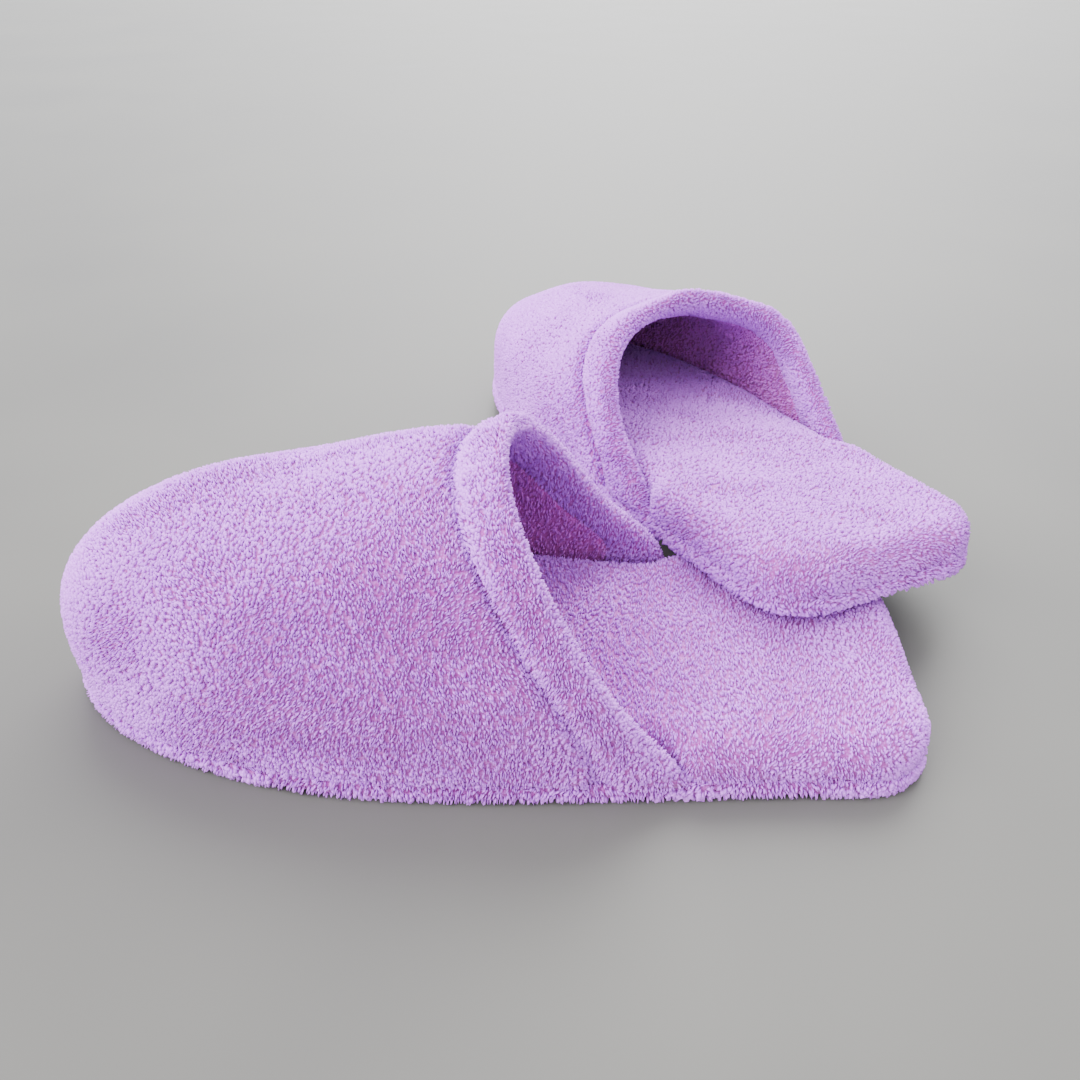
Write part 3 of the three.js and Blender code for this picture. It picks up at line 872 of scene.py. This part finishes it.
def outline(inset, tuck=0.0):
    """Points round the outline, taken in by inset, and by a further tuck under the upper."""
    quarter = np.linspace(0, 1, HEEL_POINTS, endpoint=False) * math.pi / 2
    corner = max(HEEL_CORNER - inset, GAP)
    reach = LENGTH - inset - tuck
    waist_end = min(TOE_START, reach - 1)
    x = np.concatenate([
        inset + corner * (1 - np.cos(quarter)),
        mix(inset + corner, waist_end, np.linspace(0, 1, WAIST_POINTS, endpoint=False)),
        mix(waist_end, reach, np.sin(np.linspace(0, math.pi / 2, TOE_POINTS))),
    ])
    into_upper = smooth((x - PAD_IN + TAPER) / TAPER) if tuck else 0 * x
    y = mix(half_width(x, inset), half_width(x, inset + tuck), into_upper)
    back = np.linspace(y[0], -y[0], BACK_POINTS + 2)[1:-1]
    xs = np.concatenate([x, x[-2::-1], np.full(BACK_POINTS, inset)])
    ys = np.concatenate([-y, y[-2::-1], back])
    return np.stack([xs, ys], -1)


OUTLINE_POINTS = len(outline(0.0))
MIDDLE_LINE = (46.0, LENGTH - 62.0)


def at_height(flat, z):
    return np.column_stack([flat, np.full(len(flat), z)])


def drawn_in(edge, share):
    """A loop on its way from an edge to the middle line."""
    x = mix(edge[:, 0], np.clip(edge[:, 0], *MIDDLE_LINE), share)
    return np.column_stack([x, edge[:, 1] * (1 - share)])


print("points round an outline:", OUTLINE_POINTS)

# %% Skin of the pad
SIDE_LOOPS, ROUND_LOOPS, TOP_LOOPS = 6, 7, 20
HEM_TUCK_HEIGHT, CROWN_SPEED = 3, 2.5
PAD_SWELL, PAD_SWELL_LENGTH, PAD_SWELL_RISE = 0.35, 40, 8


def pad_grid(side, sink, crown, hem):
    """The skin of the pad, from its hem to its middle line."""
    loops = []
    top, turn = SOLE_HEIGHT - sink, EDGE_ROUND - sink
    for z in np.linspace(HEM_Z, top - turn, SIDE_LOOPS, endpoint=False):
        tucked = hem * max(0.0, 1 - (z - HEM_Z) / HEM_TUCK_HEIGHT) ** 2
        loops.append((sink + tucked, z))
    for angle in np.linspace(0, math.pi / 2, ROUND_LOOPS, endpoint=False):
        loops.append((sink + turn * (1 - math.cos(angle)), top - turn * (1 - math.sin(angle))))
    rows = [at_height(outline(inset, TUCK), z) for inset, z in loops]
    edge = outline(sink + turn, TUCK)
    for share in np.linspace(0, 1, TOP_LOOPS):
        rows.append(at_height(drawn_in(edge, share), top + crown * smooth(share * CROWN_SPEED)))
    grid = np.stack(rows)
    raised = smooth((grid[..., 2] - HEM_Z) / PAD_SWELL_RISE)
    swell = waves(seed_of("pad", side), PAD_SWELL_LENGTH)(grid) * PAD_SWELL * raised
    grid[..., 2] += swell - PAD_SWELL * raised
    return grid


# %% Insoles
for side in SIDES:
    outer = pad_grid(side, PILE_SINK, 0.3, 0.6)
    under = pad_grid(side, TERRY, 0.2, 0.0)
    foam = pad_grid(side, TERRY + GAP, 0.2, 0.0)
    rows, columns = outer.shape[:2]
    points = np.concatenate([outer.reshape(-1, 3), under.reshape(-1, 3)])
    ring = np.arange(columns)
    after = (ring + 1) % columns
    count = rows * columns
    faces = np.concatenate([
        quads(rows, columns, wrap=True),
        quads(rows, columns, count, wrap=True, flip=True),
        np.stack([ring, after, after + count, ring + count], -1),
    ])
    cover = add_piece(side + "_insole_cloth", side, points, faces, lilac_ground)
    base = np.broadcast_to(foam[0].mean(0), foam[0].shape)[None]
    slab = np.concatenate([base, foam])
    slab_faces = quads(rows + 1, columns, wrap=True)
    body = add_piece(side + "_foam_pad", side, slab.reshape(-1, 3), slab_faces, foam_finish)
    pile = add_pile(
        side + "_insole_pile", side, outer[:, ::-1], 1.2, seed_of("insole_pile", side),
        lilac_pile, wrap=True,
    )
    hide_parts(side + "_insole_cover")
    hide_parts(side + "_footbed_foam")

# %% [markdown]
# ## The rim
# A narrow terry binding runs round the sole below the seam and hides the edges of the board
# and the outsole. It is a soft cord in section, and its pile brushes the floor. Its section
# is swept round the outline, and loops grow only where the binding shows.

# %% Rim grid
SECTION_POINTS, SECTION_POWER = 14, 0.8


def squarer(value):
    return np.sign(value) * abs(value) ** SECTION_POWER


def rim_grid(sink):
    """The binding's skin. Rows go round its section and columns follow the outline."""
    top = HEM_Z - GAP
    half_wide = (RIM_WIDTH + RIM_PROUD) / 2 - sink / 2
    half_high = (top - RIM_CLEARANCE) / 2 - sink / 4
    centre = RIM_WIDTH - half_wide
    rows = []
    for angle in np.linspace(0, 2 * math.pi, SECTION_POINTS, endpoint=False):
        inset = centre - half_wide * squarer(math.cos(angle))
        z = (top + RIM_CLEARANCE) / 2 + half_high * squarer(math.sin(angle))
        rows.append(at_height(outline(inset), z))
    return np.stack(rows)


# %% Rims
STEEPEST, LOWEST_FOOT, RIM_TUFT = -0.75, 0.5, 1.25


def shows(foot, normal):
    """Not the underside, which lies on the floor."""
    return (normal[:, 2] > STEEPEST) & (foot[:, 2] > LOWEST_FOOT)


for side in SIDES:
    ring = rim_grid(PILE_SINK)
    rows, columns = ring.shape[:2]
    looped = np.concatenate([ring, ring[:1]])
    faces = quads(rows + 1, columns, wrap=True)
    rim = add_piece(side + "_rim_binding", side, looped.reshape(-1, 3), faces, lilac_ground)
    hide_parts(side + "_sole_rim")
    pile = add_pile(
        side + "_rim_pile", side, looped[:, ::-1], 1.3, seed_of("rim_pile", side), lilac_pile,
        wrap=True, keep=shows, size=RIM_TUFT,
    )

# %% [markdown]
# ## Seams
# Both seams are lockstitch, a row of short stitches that dive into the cloth at each end.
# They lie at the bottom of their grooves, and the loops nearly hide them. A bump map would
# do from afar, but close by a stitch has a shadow. Each one is a small bent spindle of thread.

# %% Stitches
STITCH, STITCH_FILL, STITCH_DIVE, THREAD = 3.2, 0.92, 0.5, 0.4
STITCH_POINTS, STITCH_SIDES = 7, 6


def add_stitches(name, side, path, lift):
    """Stitches along a path of points, with lift, the outward direction, at each point."""
    steps = np.linalg.norm(np.diff(path, axis=0), axis=1)
    run = np.concatenate([[0], np.cumsum(steps)])
    count = int(run[-1] / STITCH)
    shares = np.linspace(-0.5, 0.5, STITCH_POINTS)
    turn = np.linspace(0, 2 * math.pi, STITCH_SIDES, endpoint=False)
    points, faces = [], []
    for k in range(count):
        at = (k + 0.5 + STITCH_FILL * shares) * run[-1] / count
        line = np.stack([np.interp(at, run, path[:, i]) for i in range(3)], -1)
        out = np.stack([np.interp(at, run, lift[:, i]) for i in range(3)], -1)
        along = np.gradient(line, axis=0)
        along /= np.linalg.norm(along, axis=1, keepdims=True)
        beside = np.cross(along, out)
        thick = THREAD * np.sqrt(np.maximum(1 - (2 * shares) ** 4, 0))
        line = line - out * (STITCH_DIVE * (2 * shares) ** 4)[:, None]
        ring = (
            line[:, None] + beside[:, None] * (thick[:, None] * np.cos(turn))[..., None]
            + out[:, None] * (thick[:, None] * np.sin(turn))[..., None]
        )
        first = k * STITCH_POINTS * STITCH_SIDES
        faces.append(quads(STITCH_POINTS, STITCH_SIDES, first, wrap=True))
        points.append(ring.reshape(-1, 3))
    return add_piece(name, side, np.concatenate(points), np.concatenate(faces), thread_finish)


# %% Seams
SEAM_ENDS, SEAM_POINTS, SEAM_SHIFT = (0.03, 0.97), 240, 0.1
CUFF_SEAM_DEPTH, HEM_SEAM_DEPTH = 2.3, 0.9

for side in SIDES:
    girth = np.linspace(*SEAM_ENDS, SEAM_POINTS)[:, None]
    at = seam_x(side, girth) + SEAM_SHIFT
    path = softened(side, girth, at, CUFF_SEAM_DEPTH)[:, 0]
    above = unit(softened(side, girth, at, CUFF_SEAM_DEPTH - 1)[:, 0] - path)
    seam = add_stitches(side + "_cuff_stitches", side, path, above)
    flat = outline(HEM_SEAM_DEPTH)
    flat = np.concatenate([flat, flat[:1]])
    path = at_height(flat, HEM_Z - GAP / 2)
    outwards = at_height(outline(0.0) - outline(1.0), 0.0)
    outwards = unit(np.concatenate([outwards, outwards[:1]]))
    hem = add_stitches(side + "_hem_stitches", side, path, outwards)
    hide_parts(side + "_cuff_seam")
    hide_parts(side + "_sole_seam")

# %% [markdown]
# ## Underneath
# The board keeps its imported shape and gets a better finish. The outsole is a woven cloth with
# rubber dots in staggered rows, as such slippers have for grip. The dots could be painted,
# but they hold the cloth a little off the floor, so each one is a small turned shape.

# %% Outsole plate
PLATE_EDGE, PLATE_LOOPS, EDGE_LOOPS = 0.5, 16, 3


def flat_plate(inset, z_low, z_high):
    """Loops over a flat plate with soft edges, from its lower middle line to its upper one."""
    edge = outline(inset + PLATE_EDGE)
    rows = [at_height(drawn_in(edge, share), z_low) for share in np.linspace(1, 0, PLATE_LOOPS)]
    for turn in np.linspace(0.25, 0.75, EDGE_LOOPS) * math.pi:
        z = mix(z_low, z_high, (1 - math.cos(turn)) / 2)
        rows.append(at_height(outline(inset + PLATE_EDGE * (1 - math.sin(turn))), z))
    rows += [at_height(drawn_in(edge, share), z_high) for share in np.linspace(0, 1, PLATE_LOOPS)]
    return np.stack(rows)


# %% Grip dots
DOT_PITCH, DOT_RADIUS, DOT_HEIGHT, DOT_SIDES, DOT_MARGIN = 9.0, 1.7, 0.45, 12, 4
DOT_ROW, DOTS_ASIDE = DOT_PITCH * math.sin(math.pi / 3), 8
DOT_TOP = DOT_HEIGHT + 0.3  # a little way into the cloth
# a dot's outline from its middle up to its middle down: share of its radius, and height
DOT_PROFILE = [(0.0, DOT_TOP), (1.0, DOT_TOP), (1.0, 0.28), (0.8, 0.08), (0.45, 0.0), (0.0, 0.0)]


def dot_centres(inset):
    centres = []
    for i in range(1, int(LENGTH / DOT_ROW)):
        x = i * DOT_PITCH * math.sin(math.pi / 3)
        for j in range(-DOTS_ASIDE, DOTS_ASIDE + 1):
            y = (j + 0.5 * (i % 2)) * DOT_PITCH
            if abs(y) < half_width(np.array(x), inset) and x > inset:
                centres.append((x, y))
    return np.array(centres)


def dot_mesh(centres):
    """The points and faces of a turned dot at every centre."""
    turn = np.linspace(0, 2 * math.pi, DOT_SIDES, endpoint=False)
    rings = np.array([
        [(radius * DOT_RADIUS * math.cos(a), radius * DOT_RADIUS * math.sin(a), z) for a in turn]
        for radius, z in DOT_PROFILE
    ])
    rows, columns = rings.shape[:2]
    points = [rings.reshape(-1, 3) + [x, y, 0] for x, y in centres]
    faces = [quads(rows, columns, k * rows * columns, wrap=True) for k in range(len(centres))]
    return np.concatenate(points), np.concatenate(faces)


# %% Outsoles, dots and boards
UNDER_RIM = RIM_WIDTH + GAP

for side in SIDES:
    plate = flat_plate(UNDER_RIM, DOT_HEIGHT, OUTSOLE)
    faces = quads(*plate.shape[:2], wrap=True)
    sole = add_piece(
        side + "_outsole_cloth", side, plate.reshape(-1, 3), faces, outsole_finish
    )
    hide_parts(side + "_outsole")
    centres = dot_centres(UNDER_RIM + DOT_MARGIN)
    dots = add_piece(side + "_grip_dots", side, *dot_mesh(centres), rubber_finish)
    board = nodes[side + "_midsole_board"]
    board.data.materials.clear()
    board.data.materials.append(board_finish)

# %% [markdown]
# ## Flat sizes of the cloth
# Flat sizes are what a maker would cut. The vamp's cut is a broad arch, so its width and
# length are the longest ways over the cloth. The insole cover is cut to wrap the foam, and
# the outsole is a plain outline. Wadding, foam, cuff and rim are filled forms. The sizes are
# worked out for each piece of cloth, and nothing more is done with them.

# %% Flat sizes
def longest_runs(grid):
    """The longest way over a grid along its rows and along its columns, in millimetres."""
    return [np.linalg.norm(np.diff(grid, axis=axis), axis=-1).sum(axis).max() for axis in (0, 1)]


objects = bpy.data.objects
SIDE_HEIGHT = SOLE_HEIGHT - HEM_Z

for side in SIDES:
    outer, inner = vamps[side]
    for name, size, held, pile in (
        ("_vamp_cloth", longest_runs(outer), "stretched", "_vamp_pile"),
        ("_vamp_lining_cloth", longest_runs(inner), "stretched", "_lining_pile"),
        (
            "_insole_cloth", (FOREFOOT_WIDTH + 2 * SIDE_HEIGHT, LENGTH + 2 * SIDE_HEIGHT),
            "stretched", "_insole_pile",
        ),
        (
            "_outsole_cloth", (FOREFOOT_WIDTH - 2 * UNDER_RIM, LENGTH - 2 * UNDER_RIM),
            "laid", "_grip_dots",
        ),
    ):
        piece = objects[side + name]

# %% [markdown]
# ## Stage
# A plain pale floor, an even sky for the soft fill and two broad lamps: one above and behind,
# as a window would be, and one above and to the left, as light from the rest of a room. The
# floor's own colour is dark, because the light on it is strong, and it comes out pale.

# %% Floor
FLOOR_REACH = 40.0
floor_finish = plain_material(
    "pale_honed_floor", "#504F4D", "#575653", "ShaderNodeTexNoise", scale=180,
    share=(0.35, 0.65), roughness=(0.4, 0.52), bump=0.02, specular=0.2,
)
floor_mesh = bpy.data.meshes.new("floor")
ends = ((-1, -1), (1, -1), (1, 1), (-1, 1))
corners = [(x * FLOOR_REACH, y * FLOOR_REACH, 0.0) for x, y in ends]
floor_mesh.from_pydata(corners, [], [(0, 1, 2, 3)])
floor_mesh.materials.append(floor_finish)
floor = bpy.data.objects.new("floor", floor_mesh)
bpy.context.scene.collection.objects.link(floor)

# %% Light
SKY = 3.1
world = bpy.data.worlds.new("studio")
world.use_nodes = True
sky = world.node_tree.nodes["Background"]
sky.inputs["Color"].default_value = linear("#F2F4F8")
sky.inputs["Strength"].default_value = SKY
bpy.context.scene.world = world

# each lamp's strength, how many degrees of the sky it fills, and where it stands
for name, energy, spread, toward in (
    ("window", 7.0, 50, (0.05, 0.9, 0.85)),
    ("room", 7.5, 60, (-0.85, -0.45, 0.62)),
):
    lamp = bpy.data.lights.new(name, "SUN")
    lamp.energy, lamp.angle = energy, math.radians(spread)
    stand = bpy.data.objects.new(name, lamp)
    stand.rotation_euler = Vector(toward).to_track_quat("Z", "Y").to_euler()
    bpy.context.scene.collection.objects.link(stand)

print("lamps:", [light.name for light in bpy.data.lights], "sky:", SKY)

# %% Camera
TARGET = np.array([14.8, 34.7, 30.0]) * MM
ELEVATION, AZIMUTH = math.radians(34.5), math.radians(3.15)
DISTANCE, FOCAL, SENSOR = 0.318, 31.3, 36.0
back = np.array([
    math.sin(AZIMUTH) * math.cos(ELEVATION), -math.cos(AZIMUTH) * math.cos(ELEVATION),
    math.sin(ELEVATION),
])
lens = bpy.data.cameras.new("camera")
lens.lens, lens.sensor_width, lens.clip_start, lens.clip_end = FOCAL, SENSOR, 0.01, 200.0
camera = bpy.data.objects.new("camera", lens)
camera.location = Vector(TARGET + back * DISTANCE)
camera.rotation_euler = Vector(back).to_track_quat("Z", "Y").to_euler()
bpy.context.scene.collection.objects.link(camera)
bpy.context.scene.camera = camera
print("camera at", [round(value, 3) for value in camera.location])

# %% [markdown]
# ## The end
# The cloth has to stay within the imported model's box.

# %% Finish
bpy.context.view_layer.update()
